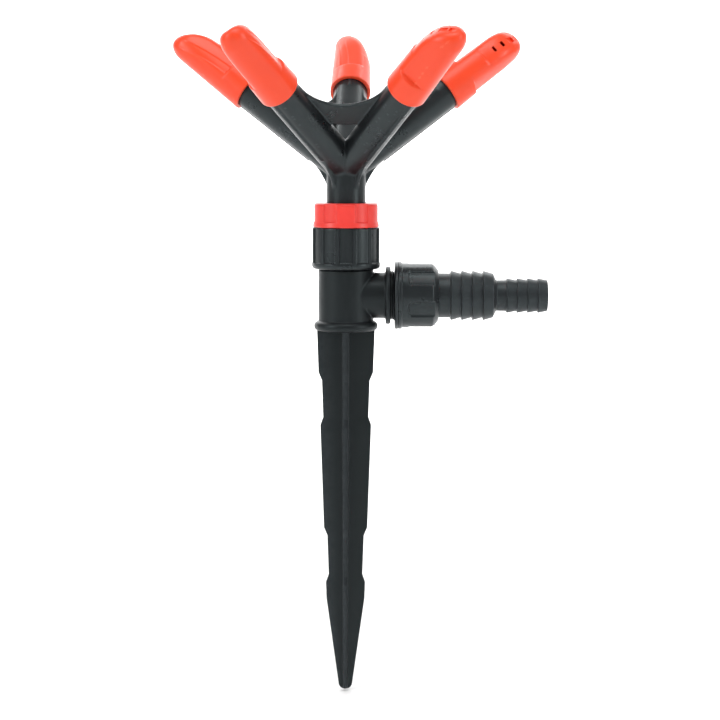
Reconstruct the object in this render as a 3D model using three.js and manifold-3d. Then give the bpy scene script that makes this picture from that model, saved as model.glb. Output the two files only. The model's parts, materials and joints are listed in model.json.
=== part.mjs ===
// Five-arm rotating lawn sprinkler on a ground spike. Millimetres, +Z up.
// Origin: on the spike's axis, at the underside of the body's bead ring, which rests at ground level.
import * as THREE from 'three';
import { mergeVertices } from 'three/addons/utils/BufferGeometryUtils.js';
import Module from 'manifold-3d';

const wasm = await Module();
wasm.setup();

// ---------- clearances ----------
const TOUCH_GAP = 0.3;          // left between two pieces that rest on each other
const THREAD_GAP = 0.35;        // radial play between a plain-cylinder thread and its mate

// ---------- tee body ----------
const BODY_RADIUS = 11.4;
const BODY_TOP = 25.4;          // shoulder under the swivel base
const BORE_RADIUS = 7.0;        // water way in the body and in the branch
const BORE_FLOOR = 5.6;         // the body is closed below this height
const BEAD_PROUD = 1.85;        // how far the bead stands out from the body
const BEAD_RADIUS = BODY_RADIUS + BEAD_PROUD;
const BEAD_HEIGHT = 4.1;
const BEAD_TURN = 78;           // degrees above level where the bead's round meets the body
const BASE_THREAD_STEP = 1.2;   // shoulder left under the swivel base
const BASE_THREAD_RADIUS = BODY_RADIUS - BASE_THREAD_STEP;
const BASE_THREAD_LENGTH = 8.4;

// ---------- side branch ----------
const BRANCH_HEIGHT = 14.7;
const BRANCH_RADIUS = 9.5;
const BRANCH_FLANGE_X = 16.4;
const BRANCH_FLANGE_THICKNESS = 2.1;
const BRANCH_THREAD_RADIUS = 10.0;
const BRANCH_FLANGE_RADIUS = BRANCH_THREAD_RADIUS + 2.0;
const BRANCH_THREAD_LENGTH = 11.2;

// ---------- ground spike ----------
const SPIKE_LENGTH = 152;
const FIN_THICKNESS = 2.7;
const FIN_TOP_HALF = BEAD_RADIUS - 1.25;    // half the spike's width at the top
const FIN_TAPER = 0.0355;       // half width lost for each millimetre down the long blades
const FIN_SHOULDER = 113;       // depth where the blades turn in towards the tip
const FIN_TIP_ROUND = 2.9;
const FIN_TIP_TURN = 8;         // degrees below level where the tip's round starts
const NOTCH_DEPTH = 1.3;
const UPPER_NOTCH = [17.4, 39.6];
const LOWER_NOTCH = [82.8, 106.2];
const NOTCH_LEAD_IN = 3.4;
const NOTCH_LEAD_OUT = 3.4;

// ---------- swivel base ----------
const BASE_WALL = 3.7;
const BASE_RADIUS = BASE_THREAD_RADIUS + THREAD_GAP + BASE_WALL;
const BASE_LENGTH = 17.0;
const BASE_BOTTOM_ROUND = 1.6;
const BASE_RIBS = 12;
const BASE_RIB_WIDTH = 1.4;
const BASE_RIB_PLACE = -14.5;   // turn of the ribs about the axis, degrees
const BASE_GROOVE_DEPTH = 0.7;
const BASE_GROOVE_FOOT = 2.4;   // plain band left below the grooves
const BASE_WATER_HOLE = 4.5;
const BASE_WEB = 2.6;           // floor between the lower socket and the upper cup
const NECK_WALL = 3.45;
const BASE_NECK_LENGTH = 5.4;

// ---------- retaining cap ----------
const CAP_FLARE = 0.25;
const CAP_WALL = 1.25;
const CAP_LIP = 1.5;
const CAP_TOP_ROUND = 1.3;
const CAP_HOLE_CLEARANCE = 0.5;
const CAP_GRIPS = 6;
const CAP_GRIP_DEPTH = 0.6;
const CAP_GRIP_WIDTH = 6.0;
const CAP_GRIP_MARGIN = 1.9;    // plain band left below the grip recesses

// ---------- seals and washers ----------
const GASKET_THICKNESS = 1.6;
const SEAL_THICKNESS = 1.7;
const SEAL_WIDTH = 2.6;
const THRUST_THICKNESS = 0.8;

// ---------- rotor ----------
const STEM_RADIUS = 8.1;
const STEM_BORE = 5.6;
const ROTOR_FLANGE_PLAY = 0.95; // radial room for the flange inside the cap
const ROTOR_FLANGE_THICKNESS = 1.7;
const ARM_COUNT = 5;
const ARM_START = -2.0;         // rotor angle at rest, degrees
const ARM_ELEVATION = 36.2;
const ARM_APEX = 67.5;          // height where the arm axes meet
const ARM_RADIUS = 7.15;
const ARM_BORE = 4.6;
const ARM_TO_RIM = 53.0;        // from the apex to the nozzle's rim, along the arm
const ARM_INSERT = 9.0;         // the arm's end inside the nozzle
const WEB_THICKNESS = 1.8;
const WEB_LIFT = 1.2;           // web above the plane of its two arm axes
const WEB_FOOT = 25.5;          // lower edge of the web, from the apex along the web
const WEB_RIM_GAP = 3.85;       // its hollow upper edge runs into each arm this far short of the rim
const WEB_STEPS = 10;
const GUSSET_THICKNESS = 1.5;
const GUSSET_REACH = 14.6;      // radius where the gusset leaves the arm
const GUSSET_HOLLOW = 2.3;      // how far the gusset's edge stands out near its foot
const GUSSET_STEPS = 5;
const GUSSET_DROP = 7.6;        // from the apex down to the gusset's foot
const ARM_RIDGE = 0.5;          // ridge along each arm's underside
const INDEX_RIB_LENGTH = 4.5;
const INDEX_RIB_WIDTH = 1.0;
const INDEX_RIB_HEIGHT = 0.7;

// ---------- nozzles ----------
const NOZZLE_ROLLS = [15, 60, 49, 50, 25];   // how far each one is turned on its arm, degrees
const NOZZLE_LENGTH = 39.5;
const NOZZLE_WALL = 1.3;
const NOZZLE_FIT = 0.25;        // radial play on the arm
const NOZZLE_RADIUS = ARM_RADIUS + NOZZLE_FIT + NOZZLE_WALL;    // outside of the sleeve
const CHAMBER_WALL = 1.5;
const CHAMBER_LEAST = 0.6;      // the chamber is never narrower than this, from its middle
const SLEEVE_LENGTH = 10.0;
const SLEEVE_STEP = 2.0;        // length over which the sleeve blends into the side flats
const NOZZLE_DRAFT = 0.028;     // the radius lost for each millimetre along the nozzle
const FLAT_INSET = 2.1;         // the side flats lie this far inside the sleeve
const FLAT_DISTANCE = NOZZLE_RADIUS - FLAT_INSET;
const FLAT_CLEAR = NOZZLE_RADIUS * 1.5;     // flats kept outside the sleeve, which stays round
const FLAT_TILT = 8;
const BEVEL_START = 14;         // where the front starts to curve back towards the tip
const BEVEL_RADIUS = 44;
const TIP_ROUND = 5.0;
const TIP_DROP = 3.6;           // the tip's centre lies this far behind the arm's axis
const EDGE_SHARPNESS = 12;      // higher makes the edges between the sides crisper
const SLOT_COUNT = 4;
const SLOT_FIRST = 26.6;        // measured along the front from the rim
const SLOT_PITCH = 4.6;
const SLOT_LENGTH = 2.6;
const SLOT_WIDTH = 1.2;
const SLOT_DEPTH = 2.9;         // cut through the wall where the front slopes

// ---------- O-ring on each arm ----------
const O_RING_THICKNESS = 1.2;
const O_RING_GROOVE = 1.5;
const O_RING_PLACE = 5.0;       // from the rim, inside the nozzle
const O_RING_SIDES = 6;

// ---------- coupling nut ----------
const NUT_WALL = 3.05;
const NUT_RADIUS = BRANCH_THREAD_RADIUS + THREAD_GAP + NUT_WALL;
const NUT_FLANGE_RADIUS = NUT_RADIUS + 0.65;
const NUT_FLANGE_THICKNESS = 3.0;
const NUT_FLANGE_TURN = 55;     // degrees where the flange's round meets the nut's body
const NUT_LENGTH = 18.1;
const NUT_CHAMFER_LENGTH = 2.3;
const NUT_CHAMFER_DEPTH = 2.8;
const NUT_PANELS = 6;
const NUT_PANEL_WIDTH = 6.9;
const NUT_PANEL_DEPTH = 0.9;
const NUT_PANEL_PLACE = -7;     // turn of the panels about the nut's axis, degrees
const NUT_PANEL_MARGIN = 2.6;   // plain band between the flange and the recessed panels
const NUT_LIP_GAP = 0.3;
const NUT_START_GAP = 1.6;      // from the branch flange to the nut's flange

// ---------- hose tail ----------
const TAIL_COLLAR_RADIUS = BRANCH_THREAD_RADIUS + 0.4;
const TAIL_COLLAR_THICKNESS = 2.6;
const TAIL_NECK_RADIUS = 9.3;
const TAIL_NECK_LENGTH = 4.9;   // visible neck before the large barbs
const LARGE_PEAK = 10.35;
const LARGE_ROOT = 9.6;
const LARGE_PITCH = 4.45;
const STEP_LENGTH = 5.4;        // taper and neck between the two sets of barbs
const STEP_TAPER = 1.4;
const STEP_RADIUS = 6.4;
const SMALL_PEAK = 7.25;
const SMALL_ROOT = 6.75;
const SMALL_PITCH = 4.3;
const BARB_FACE = 0.35;         // length of each barb's steep side
const BARB_COUNT = 4;
const TAIL_BORE = 4.9;
const TAIL_WASHER_THICKNESS = 1.8;

// ---------- facets ----------
const ROUND = 32;
const ROUND_SMALL = 20;
const RING_SEGMENTS = 16;
const NOZZLE_SIDES = 22;
const CAVITY_SIDES = 12;
const ARC_STEPS = 6;
const SMALL_ARC_STEPS = 3;
const MERGE_DISTANCE = 1e-4;
const SEAM = 0.01;              // overlap where two cutting tools meet

const DEG = Math.PI / 180;
const OVERRUN = 1;              // how far a cutting tool runs past the face it opens

// ---------- colours ----------
const black = 0x2c3033;
const blackPlastic = (roughness) => new THREE.MeshStandardMaterial({ color: black, roughness, metalness: 0 });
const glossBlack = blackPlastic(0.38);
const mattBlack = blackPlastic(0.55);
const orange = new THREE.MeshStandardMaterial({ color: 0xfd5a3a, roughness: 0.35, metalness: 0 });
const red = new THREE.MeshStandardMaterial({ color: 0xfb4a42, roughness: 0.35, metalness: 0 });
const rubber = new THREE.MeshStandardMaterial({ color: 0x1c1c1e, roughness: 0.8, metalness: 0 });
const acetal = new THREE.MeshStandardMaterial({ color: 0xe8e6de, roughness: 0.4, metalness: 0 });

// ---------- solids ----------
function solid(geometry) {
  const bare = geometry.clone();
  bare.deleteAttribute('normal');
  bare.deleteAttribute('uv');
  const merged = mergeVertices(bare, MERGE_DISTANCE);
  return new wasm.Manifold(new wasm.Mesh({
    numProp: 3,
    vertProperties: new Float32Array(merged.attributes.position.array),
    triVerts: new Uint32Array(merged.index.array),
  }));
}

function geometryOf(manifold) {
  const mesh = manifold.getMesh();
  const geometry = new THREE.BufferGeometry();
  geometry.setAttribute('position', new THREE.BufferAttribute(new Float32Array(mesh.vertProperties), 3));
  geometry.setIndex(new THREE.BufferAttribute(new Uint32Array(mesh.triVerts), 1));
  geometry.computeVertexNormals();
  return geometry;
}

// A solid of revolution about Z from [radius, height] points, going up along its outside.
function turned(points, segments = ROUND) {
  const lathe = new THREE.LatheGeometry(points.map(([r, z]) => new THREE.Vector2(r, z)), segments);
  lathe.rotateX(Math.PI / 2);
  return lathe;
}

// A closed ring or disc: the outline returns to its first point.
function ring(outline, segments = ROUND) {
  return solid(turned([...outline, outline[0]], segments));
}

function tube(inner, outer, bottom, top, segments = ROUND) {
  return ring([[inner, bottom], [outer, bottom], [outer, top], [inner, top]], segments);
}

function rod(radius, bottom, top, segments = ROUND) {
  return solid(turned([[0, bottom], [radius, bottom], [radius, top], [0, top]], segments));
}

// A straight bar of the outline given in X and Y, from bottom to top along Z.
function bar(points, bottom, top) {
  const shape = new THREE.Shape(points.map(([x, y]) => new THREE.Vector2(x, y)));
  const geometry = new THREE.ExtrudeGeometry(shape, { depth: top - bottom, bevelEnabled: false });
  geometry.translate(0, 0, bottom);
  return geometry;
}

function block(x0, x1, y0, y1, z0, z1) {
  const geometry = new THREE.BoxGeometry(x1 - x0, y1 - y0, z1 - z0);
  geometry.translate((x0 + x1) / 2, (y0 + y1) / 2, (z0 + z1) / 2);
  return geometry;
}

function placed(geometry, matrix) {
  return solid(geometry.clone().applyMatrix4(matrix));
}

function arcPoints(cx, cy, radius, from, to, steps) {
  const points = [];
  for (let i = 0; i <= steps; i++) {
    const angle = (from + (to - from) * i / steps) * DEG;
    points.push([cx + radius * Math.cos(angle), cy + radius * Math.sin(angle)]);
  }
  return points;
}

const alongX = new THREE.Matrix4().makeRotationY(Math.PI / 2);   // turns +Z to +X
const branchPlace = new THREE.Matrix4().makeTranslation(0, 0, BRANCH_HEIGHT).multiply(alongX);

// ---------- places that follow from the sizes ----------
const baseBottom = BODY_TOP + TOUCH_GAP;
const baseTop = baseBottom + BASE_LENGTH;
const threadTop = BODY_TOP + BASE_THREAD_LENGTH;
const gasketBottom = threadTop + TOUCH_GAP;
const socketTop = gasketBottom + GASKET_THICKNESS + TOUCH_GAP;
const cupFloor = socketTop + BASE_WEB;
const sealBottom = cupFloor + TOUCH_GAP;
const rotorFoot = sealBottom + SEAL_THICKNESS + TOUCH_GAP;
const neckTop = baseTop + BASE_NECK_LENGTH;
const flangeBottom = neckTop + TOUCH_GAP;
const flangeTop = flangeBottom + ROTOR_FLANGE_THICKNESS;
const thrustBottom = flangeTop + TOUCH_GAP;
const thrustTop = thrustBottom + THRUST_THICKNESS;
const capBottom = baseTop + TOUCH_GAP;
const capLipBottom = thrustTop + TOUCH_GAP;
const capTop = capLipBottom + CAP_LIP;
const cupRadius = STEM_RADIUS + THREAD_GAP;
const neckRadius = cupRadius + NECK_WALL;
const capBore = neckRadius + THREAD_GAP;
const capRadius = capBore + CAP_WALL;
const rotorFlangeRadius = capBore - ROTOR_FLANGE_PLAY;
const branchFlangeEnd = BRANCH_FLANGE_X + BRANCH_FLANGE_THICKNESS;
const branchEnd = branchFlangeEnd + BRANCH_THREAD_LENGTH;
const nutStart = branchFlangeEnd + NUT_START_GAP;
const nutEnd = nutStart + NUT_LENGTH;
const washerStart = branchEnd + TOUCH_GAP;
const collarStart = washerStart + TAIL_WASHER_THICKNESS + TOUCH_GAP;
const collarEnd = collarStart + TAIL_COLLAR_THICKNESS;
const nutLipStart = collarEnd + TOUCH_GAP;
const largeStart = nutEnd + TAIL_NECK_LENGTH;
const largeEnd = largeStart + BARB_COUNT * LARGE_PITCH;
const smallStart = largeEnd + STEP_LENGTH;
const tailEnd = smallStart + BARB_COUNT * SMALL_PITCH;
const nozzleBore = ARM_RADIUS + NOZZLE_FIT;

// ---------- tee body with its spike ----------
function bladeHalfWidth(depth) {
  return FIN_TOP_HALF - FIN_TAPER * depth;
}

function bladeSide() {
  const side = [[FIN_TOP_HALF, BEAD_HEIGHT / 2]];
  for (const [start, end] of [UPPER_NOTCH, LOWER_NOTCH]) {
    const floorStart = start + NOTCH_LEAD_IN;
    const floorEnd = end - NOTCH_LEAD_OUT;
    side.push([bladeHalfWidth(start), -start]);
    side.push([bladeHalfWidth(floorStart) - NOTCH_DEPTH, -floorStart]);
    side.push([bladeHalfWidth(floorEnd) - NOTCH_DEPTH, -floorEnd]);
    side.push([bladeHalfWidth(end), -end]);
  }
  side.push([bladeHalfWidth(FIN_SHOULDER), -FIN_SHOULDER]);
  return side;
}

function blade() {
  const side = bladeSide();
  const tipHeight = FIN_TIP_ROUND - SPIKE_LENGTH;
  const tip = arcPoints(0, tipHeight, FIN_TIP_ROUND, -FIN_TIP_TURN, FIN_TIP_TURN - 180, ARC_STEPS);
  const mirrored = side.map(([x, z]) => [-x, z]).reverse();
  const flat = bar([...side, ...tip, ...mirrored], -FIN_THICKNESS / 2, FIN_THICKNESS / 2);
  flat.rotateX(Math.PI / 2);
  return flat;
}

function makeSpikeTee() {
  const round = BEAD_HEIGHT / 2;
  const bead = arcPoints(BEAD_RADIUS - round, round, round, -90, BEAD_TURN, ARC_STEPS);
  const body = solid(turned([
    [0, 0], ...bead, [BODY_RADIUS, BEAD_HEIGHT], [BODY_RADIUS, BODY_TOP],
    [BASE_THREAD_RADIUS, BODY_TOP], [BASE_THREAD_RADIUS, threadTop], [0, threadTop],
  ]));
  const branch = placed(turned([
    [0, 0], [BRANCH_RADIUS, 0], [BRANCH_RADIUS, BRANCH_FLANGE_X], [BRANCH_FLANGE_RADIUS, BRANCH_FLANGE_X],
    [BRANCH_FLANGE_RADIUS, branchFlangeEnd], [BRANCH_THREAD_RADIUS, branchFlangeEnd],
    [BRANCH_THREAD_RADIUS, branchEnd], [0, branchEnd],
  ]), branchPlace);
  const crossBlade = blade().rotateZ(Math.PI / 2);
  const upBore = rod(BORE_RADIUS, BORE_FLOOR, threadTop + OVERRUN, ROUND);
  const sideBore = placed(turned([[0, 0], [BORE_RADIUS, 0], [BORE_RADIUS, branchEnd + OVERRUN],
    [0, branchEnd + OVERRUN]], ROUND), branchPlace);
  return body.add(branch).add(solid(blade())).add(solid(crossBlade)).subtract(upBore).subtract(sideBore);
}

// ---------- swivel base and its gasket ----------
function makeSwivelBase() {
  const round = BASE_BOTTOM_ROUND;
  const foot = arcPoints(BASE_RADIUS - round, baseBottom + round, round, -90, 0, SMALL_ARC_STEPS);
  const socket = BASE_THREAD_RADIUS + THREAD_GAP;
  let base = ring([
    [socket, baseBottom], ...foot, [BASE_RADIUS, baseTop], [neckRadius, baseTop],
    [neckRadius, neckTop], [cupRadius, neckTop], [cupRadius, cupFloor], [BASE_WATER_HOLE, cupFloor],
    [BASE_WATER_HOLE, socketTop], [socket, socketTop],
  ]);
  const ribAngle = BASE_RIB_WIDTH / BASE_RADIUS / DEG;
  const pitch = 360 / BASE_RIBS;
  const inner = BASE_RADIUS - BASE_GROOVE_DEPTH;
  for (let i = 0; i < BASE_RIBS; i++) {
    const from = BASE_RIB_PLACE + i * pitch + ribAngle / 2;
    const to = BASE_RIB_PLACE + (i + 1) * pitch - ribAngle / 2;
    const outside = arcPoints(0, 0, BASE_RADIUS + OVERRUN, to, from, 2);
    const panel = [...arcPoints(0, 0, inner, from, to, 2), ...outside];
    base = base.subtract(solid(bar(panel, baseBottom + BASE_GROOVE_FOOT, baseTop + OVERRUN)));
  }
  return base;
}

// ---------- retaining cap ----------
function makeRetainingCap() {
  const round = CAP_TOP_ROUND;
  const shoulder = arcPoints(capRadius - round, capTop - round, round, 0, 90, SMALL_ARC_STEPS);
  const hole = STEM_RADIUS + CAP_HOLE_CLEARANCE;
  let cap = ring([
    [capBore, capBottom], [capRadius + CAP_FLARE, capBottom], ...shoulder, [hole, capTop],
    [hole, capLipBottom], [capBore, capLipBottom],
  ]);
  const floor = capRadius - CAP_GRIP_DEPTH;
  const half = CAP_GRIP_WIDTH / 2;
  for (let i = 0; i < CAP_GRIPS; i++) {
    const foot = capBottom + CAP_GRIP_MARGIN;
    const grip = block(floor, capRadius + OVERRUN, -half, half, foot, capTop + OVERRUN);
    grip.rotateZ((i + 0.5) * 2 * Math.PI / CAP_GRIPS - Math.PI / 2);
    cap = cap.subtract(solid(grip));
  }
  return cap;
}

// ---------- rotor ----------
function armPlace(index) {
  const azimuth = (90 + ARM_START + index * 360 / ARM_COUNT) * DEG;
  const turn = new THREE.Matrix4().makeRotationZ(azimuth);
  const tilt = new THREE.Matrix4().makeRotationY((90 - ARM_ELEVATION) * DEG);
  return new THREE.Matrix4().makeTranslation(0, 0, ARM_APEX).multiply(turn).multiply(tilt);
}

function armAxis(index) {
  return new THREE.Vector3(0, 0, 1).transformDirection(armPlace(index));
}

function makeStem() {
  const rise = [
    [0, rotorFoot], [STEM_RADIUS, rotorFoot], [STEM_RADIUS, flangeBottom], [rotorFlangeRadius, flangeBottom],
    [rotorFlangeRadius, flangeTop], [STEM_RADIUS, flangeTop], [STEM_RADIUS, ARM_APEX], [0, ARM_APEX],
  ];
  return solid(turned(rise));
}

// The flat web between arm index and the next one, hollowed along its upper edge.
function makeWeb(index) {
  const first = armAxis(index);
  const second = armAxis(index + 1);
  const along = first.clone().add(second).normalize();
  const across = second.clone().sub(first).normalize();
  const out = along.clone().cross(across);
  const half = first.angleTo(second) / 2;
  const sine = Math.sin(half);
  const reach = ARM_TO_RIM - WEB_RIM_GAP;
  const centre = reach / Math.cos(half);
  const hollow = centre * sine - ARM_RADIUS;
  const halfArc = 90 - half / DEG;
  const arc = arcPoints(centre, 0, hollow, 180 - halfArc, 180 + halfArc, WEB_STEPS);
  const edge = [reach * Math.cos(half), reach * sine];
  const outline = [
    [WEB_FOOT, -WEB_FOOT * Math.tan(half)], [edge[0], -edge[1]], ...arc.reverse(), edge,
    [WEB_FOOT, WEB_FOOT * Math.tan(half)],
  ];
  const lift = out.z > 0 ? WEB_LIFT : -WEB_LIFT;
  const panel = bar(outline, lift - WEB_THICKNESS / 2, lift + WEB_THICKNESS / 2);
  const place = new THREE.Matrix4().makeBasis(along, across, out).setPosition(0, 0, ARM_APEX);
  return placed(panel, place);
}

// The upright gusset below an arm, from the stem out to where it runs into the arm.
function makeGusset(index) {
  const slope = ARM_ELEVATION * DEG;
  const under = (radius) => radius * Math.tan(slope) - ARM_RADIUS / Math.cos(slope);
  const foot = [STEM_RADIUS, -GUSSET_DROP];
  const head = [GUSSET_REACH, under(GUSSET_REACH)];
  const curve = new THREE.QuadraticBezierCurve(
    new THREE.Vector2(...foot),
    new THREE.Vector2(foot[0] + GUSSET_HOLLOW, (foot[1] + head[1]) / 2),
    new THREE.Vector2(...head),
  );
  const edge = curve.getPoints(GUSSET_STEPS).map((p) => [p.x, p.y]);
  const middle = GUSSET_REACH * Math.tan(slope);
  const inside = STEM_RADIUS - OVERRUN;
  const outline = [[inside, -GUSSET_DROP], ...edge, [GUSSET_REACH, middle], [inside, 0]];
  const plate = bar(outline, -GUSSET_THICKNESS / 2, GUSSET_THICKNESS / 2);
  plate.rotateX(Math.PI / 2);
  const azimuth = (90 + ARM_START + index * 360 / ARM_COUNT) * DEG;
  plate.rotateZ(azimuth);
  plate.translate(0, 0, ARM_APEX);
  return solid(plate);
}

function makeRotor() {
  const armEnd = ARM_TO_RIM + ARM_INSERT;
  const grooveStart = ARM_TO_RIM + O_RING_PLACE - TOUCH_GAP;
  const grooveEnd = grooveStart + O_RING_THICKNESS + 2 * TOUCH_GAP;
  const grooveFloor = ARM_RADIUS - O_RING_GROOVE;
  const arm = turned([
    [0, 0], [ARM_RADIUS, 0], [ARM_RADIUS, grooveStart], [grooveFloor, grooveStart],
    [grooveFloor, grooveEnd], [ARM_RADIUS, grooveEnd], [ARM_RADIUS, armEnd], [0, armEnd],
  ], ROUND_SMALL);
  const ribEnd = ARM_TO_RIM - TOUCH_GAP;
  const halfRidge = GUSSET_THICKNESS / 2;
  const ridgeTop = ARM_RADIUS + ARM_RIDGE;
  const ridge = block(ARM_RADIUS - OVERRUN, ridgeTop, -halfRidge, halfRidge, GUSSET_REACH, ribEnd);
  const indexRib = block(-ARM_RADIUS - INDEX_RIB_HEIGHT, -ARM_RADIUS + OVERRUN, -INDEX_RIB_WIDTH / 2,
    INDEX_RIB_WIDTH / 2, ribEnd - INDEX_RIB_LENGTH, ribEnd);
  const holeEnd = armEnd + OVERRUN;
  const armHole = turned([[0, 0], [ARM_BORE, 0], [ARM_BORE, holeEnd], [0, holeEnd]], ROUND_SMALL);
  let rotor = makeStem();
  for (let i = 0; i < ARM_COUNT; i++) {
    rotor = rotor.add(placed(arm, armPlace(i))).add(placed(ridge, armPlace(i)));
    rotor = rotor.add(placed(indexRib, armPlace(i))).add(makeWeb(i)).add(makeGusset(i));
  }
  for (let i = 0; i < ARM_COUNT; i++) {
    rotor = rotor.subtract(placed(armHole, armPlace(i)));
  }
  return rotor.subtract(rod(STEM_BORE, rotorFoot - OVERRUN, ARM_APEX, ROUND_SMALL));
}

// ---------- nozzles: +Z runs along the arm from the rim, +X faces the slotted front ----------
function tipScale(along) {
  const past = Math.max(0, along - (NOZZLE_LENGTH - TIP_ROUND)) / TIP_ROUND;
  return Math.sqrt(Math.max(0, 1 - past * past));
}

function sectionCentre(along) {
  const part = Math.max(0, along - SLEEVE_LENGTH) / (NOZZLE_LENGTH - TIP_ROUND - SLEEVE_LENGTH);
  return -TIP_DROP * Math.min(1, part * part);
}

// Distance of the outside from the section's centre, in the direction given by the angle from the front.
function sectionRadius(along, angle) {
  const centre = sectionCentre(along);
  const radius = NOZZLE_RADIUS - NOZZLE_DRAFT * along;
  const limits = [-centre * Math.cos(angle) + Math.sqrt(radius ** 2 - (centre * Math.sin(angle)) ** 2)];
  const halfStep = SLEEVE_STEP / 2;
  const blend = THREE.MathUtils.smoothstep(along, SLEEVE_LENGTH - halfStep, SLEEVE_LENGTH + halfStep);
  const flat = THREE.MathUtils.lerp(FLAT_CLEAR, FLAT_DISTANCE, blend);
  const tilt = FLAT_TILT * DEG;
  for (const side of [1, -1]) {
    const facing = Math.cos(angle - side * (Math.PI / 2 - tilt));
    if (facing > 0) limits.push((flat - centre * Math.sin(tilt)) / facing);
  }
  const bevel = Math.max(0, along - BEVEL_START) ** 2 / (2 * BEVEL_RADIUS);
  if (bevel > 0 && Math.cos(angle) > 0) limits.push((radius - bevel - centre) / Math.cos(angle));
  const sum = limits.reduce((total, limit) => total + limit ** -EDGE_SHARPNESS, 0);
  return sum ** (-1 / EDGE_SHARPNESS) * tipScale(along);
}

function frontHeight(along) {
  return sectionCentre(along) + sectionRadius(along, 0);
}

// A closed loft of round sections; the radius is a function of the place along and the angle around.
function loft(stations, radiusAt, centreAt, sides, tip) {
  const positions = [];
  for (const along of stations) {
    for (let j = 0; j < sides; j++) {
      const angle = 2 * Math.PI * j / sides;
      const radius = radiusAt(along, angle);
      positions.push(centreAt(along) + radius * Math.cos(angle), radius * Math.sin(angle), along);
    }
  }
  const foot = positions.length / 3;
  positions.push(centreAt(stations[0]), 0, stations[0], centreAt(tip), 0, tip);
  const index = [];
  for (let i = 0; i + 1 < stations.length; i++) {
    for (let j = 0; j < sides; j++) {
      const a = i * sides + j;
      const b = i * sides + (j + 1) % sides;
      index.push(a, b, b + sides, a, b + sides, a + sides);
    }
  }
  const last = (stations.length - 1) * sides;
  for (let j = 0; j < sides; j++) {
    const next = (j + 1) % sides;
    index.push(foot, next, j, last + j, last + next, foot + 1);
  }
  const geometry = new THREE.BufferGeometry();
  geometry.setAttribute('position', new THREE.Float32BufferAttribute(positions, 3));
  geometry.setIndex(index);
  return solid(geometry);
}

function slotPlaces() {
  const places = [];
  const step = 0.1;
  let travelled = 0;
  let wanted = SLOT_FIRST;
  for (let along = 0; along < NOZZLE_LENGTH - step && places.length < SLOT_COUNT; along += step) {
    const rise = frontHeight(along + step) - frontHeight(along);
    travelled += Math.hypot(step, rise);
    if (travelled >= wanted) {
      places.push({ along, height: frontHeight(along), slope: Math.atan2(rise, step) });
      wanted += SLOT_PITCH;
    }
  }
  return places;
}

function nozzleStations(top) {
  const halfStep = SLEEVE_STEP / 2;
  const stations = [0, SLEEVE_LENGTH - halfStep, SLEEVE_LENGTH, SLEEVE_LENGTH + halfStep, BEVEL_START];
  const domeStart = NOZZLE_LENGTH - TIP_ROUND;
  const bevelSteps = 5;
  for (let i = 1; i <= bevelSteps; i++) {
    stations.push(BEVEL_START + (domeStart - BEVEL_START) * i / bevelSteps);
  }
  const domeSteps = 4;
  for (let i = 1; i < domeSteps; i++) {
    stations.push(domeStart + TIP_ROUND * Math.sin(i / domeSteps * Math.PI / 2));
  }
  return stations.filter((along) => along < top);
}

function makeNozzle() {
  const stations = nozzleStations(NOZZLE_LENGTH);
  const outside = loft(stations, sectionRadius, sectionCentre, NOZZLE_SIDES, NOZZLE_LENGTH);
  const boreEnd = ARM_INSERT + TOUCH_GAP;
  const cavityTop = NOZZLE_LENGTH - NOZZLE_WALL;
  const chamber = [boreEnd, boreEnd + SLEEVE_STEP, BEVEL_START];
  const chamberSteps = 3;
  for (let i = 1; i <= chamberSteps; i++) {
    chamber.push(BEVEL_START + (cavityTop - NOZZLE_WALL - BEVEL_START) * i / chamberSteps);
  }
  const chamberRadius = (along, angle) => Math.max(CHAMBER_LEAST, sectionRadius(along, angle) - CHAMBER_WALL);
  const cavity = loft(chamber, chamberRadius, sectionCentre, CAVITY_SIDES, cavityTop);
  const bore = rod(nozzleBore, -OVERRUN, boreEnd + SEAM, ROUND_SMALL);
  let nozzle = outside.subtract(cavity).subtract(bore);
  for (const { along, height, slope } of slotPlaces()) {
    const half = SLOT_LENGTH / 2;
    const slot = block(-SLOT_DEPTH, OVERRUN, -half, half, -SLOT_WIDTH / 2, SLOT_WIDTH / 2);
    slot.rotateY(-slope);
    slot.translate(height, 0, along);
    nozzle = nozzle.subtract(solid(slot));
  }
  return nozzle;
}

function makeNozzleRing() {
  const inner = ARM_RADIUS - O_RING_GROOVE + TOUCH_GAP;
  const half = O_RING_THICKNESS / 2;
  const last = 360 - 360 / O_RING_SIDES;
  const section = arcPoints(inner + half, O_RING_PLACE + half, half, 0, last, O_RING_SIDES - 1);
  return ring(section, RING_SEGMENTS);
}

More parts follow.
